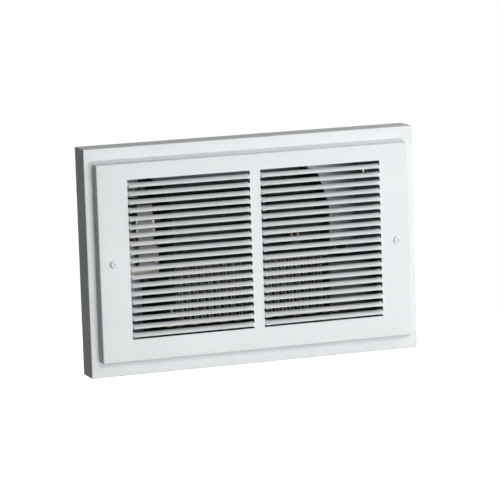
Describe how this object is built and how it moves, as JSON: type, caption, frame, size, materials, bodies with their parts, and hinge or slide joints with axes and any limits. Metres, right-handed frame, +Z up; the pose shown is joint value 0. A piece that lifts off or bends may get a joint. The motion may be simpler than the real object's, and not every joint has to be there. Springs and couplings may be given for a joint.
{
  "type": "wall heater",
  "caption": "Rectangular fan heater for a wall opening: a deep white trim frame, a raised panel with two banks of louvres, and a steel can behind holding a cross-flow blower and element.",
  "frame": {"origin": "middle of the trim frame on the wall's surface", "axes": "+X to the right seen from the room, +Y into the wall, +Z up; the louvres face -Y"},
  "size_m": [0.355, 0.1041, 0.233],
  "materials": {
    "white_enamel": "smooth baked white enamel",
    "galvanised": "zinc-coated sheet",
    "black_enamel": "heat-proof black paint",
    "laminations": "stacked, varnished laminations",
    "bright_steel": "ground or zinc-plated",
    "spring_steel": "blued spring steel",
    "copper": "bare copper",
    "enamelled_wire": "enamelled copper wire under tape",
    "bobbin_nylon": "natural nylon",
    "black_plastic": "moulded phenolic or nylon",
    "rubber": "moulded rubber",
    "sintered_bronze": "oil-filled sintered bronze",
    "mica": "pressed mica sheet",
    "nichrome": "oxidised resistance ribbon",
    "brass": "tinned or bare brass",
    "green_screw": "green dyed zinc"
  },
  "bodies": {
    "housing": {"trim_frame": "white_enamel", "grille": "white_enamel", "grille_screws": "white_enamel", "grille_clips": "spring_steel", "wall_can": "galvanised", "wiring_cover": "black_enamel", "wiring_cover_screw": "bright_steel", "ground_screw": "green_screw", "lead_bushing": "black_plastic", "end_plate_left": "black_enamel", "end_plate_right": "black_enamel", "chassis_screws": "bright_steel", "blower_scroll": "black_enamel", "blower_tongue": "black_enamel", "end_bearing": "sintered_bronze", "bearing_grommet": "rubber", "motor_stator": "laminations", "shading_rings": "copper", "coil_bobbin": "bobbin_nylon", "coil_winding": "enamelled_wire", "motor_bracket_inner": "galvanised", "motor_bracket_outer": "galvanised", "motor_bearings": "sintered_bronze", "motor_screws": "bright_steel", "motor_nuts": "bright_steel", "motor_spacers": "bright_steel", "element_frame": "black_enamel", "mica_rail_upper": "mica", "mica_rail_lower": "mica", "heating_ribbon_front": "nichrome", "heating_ribbon_rear": "nichrome", "element_terminals": "brass", "element_screws": "bright_steel", "thermal_limit": "black_plastic", "limit_terminals": "brass", "limit_screws": "bright_steel"},
    "fan_rotor": {"blower_wheel": "black_enamel", "wheel_hub": "bright_steel", "hub_set_screw": "spring_steel", "wheel_stub_pin": "bright_steel", "motor_shaft": "bright_steel", "motor_rotor": "laminations", "shaft_collars": "bobbin_nylon"}
  },
  "joints": [
    {"name": "fan_spin", "type": "hinge", "parent": "housing", "child": "fan_rotor", "pos_m": [0, 0.022, 0.03], "axis": [1, 0, 0], "continuous": true}
  ]
}
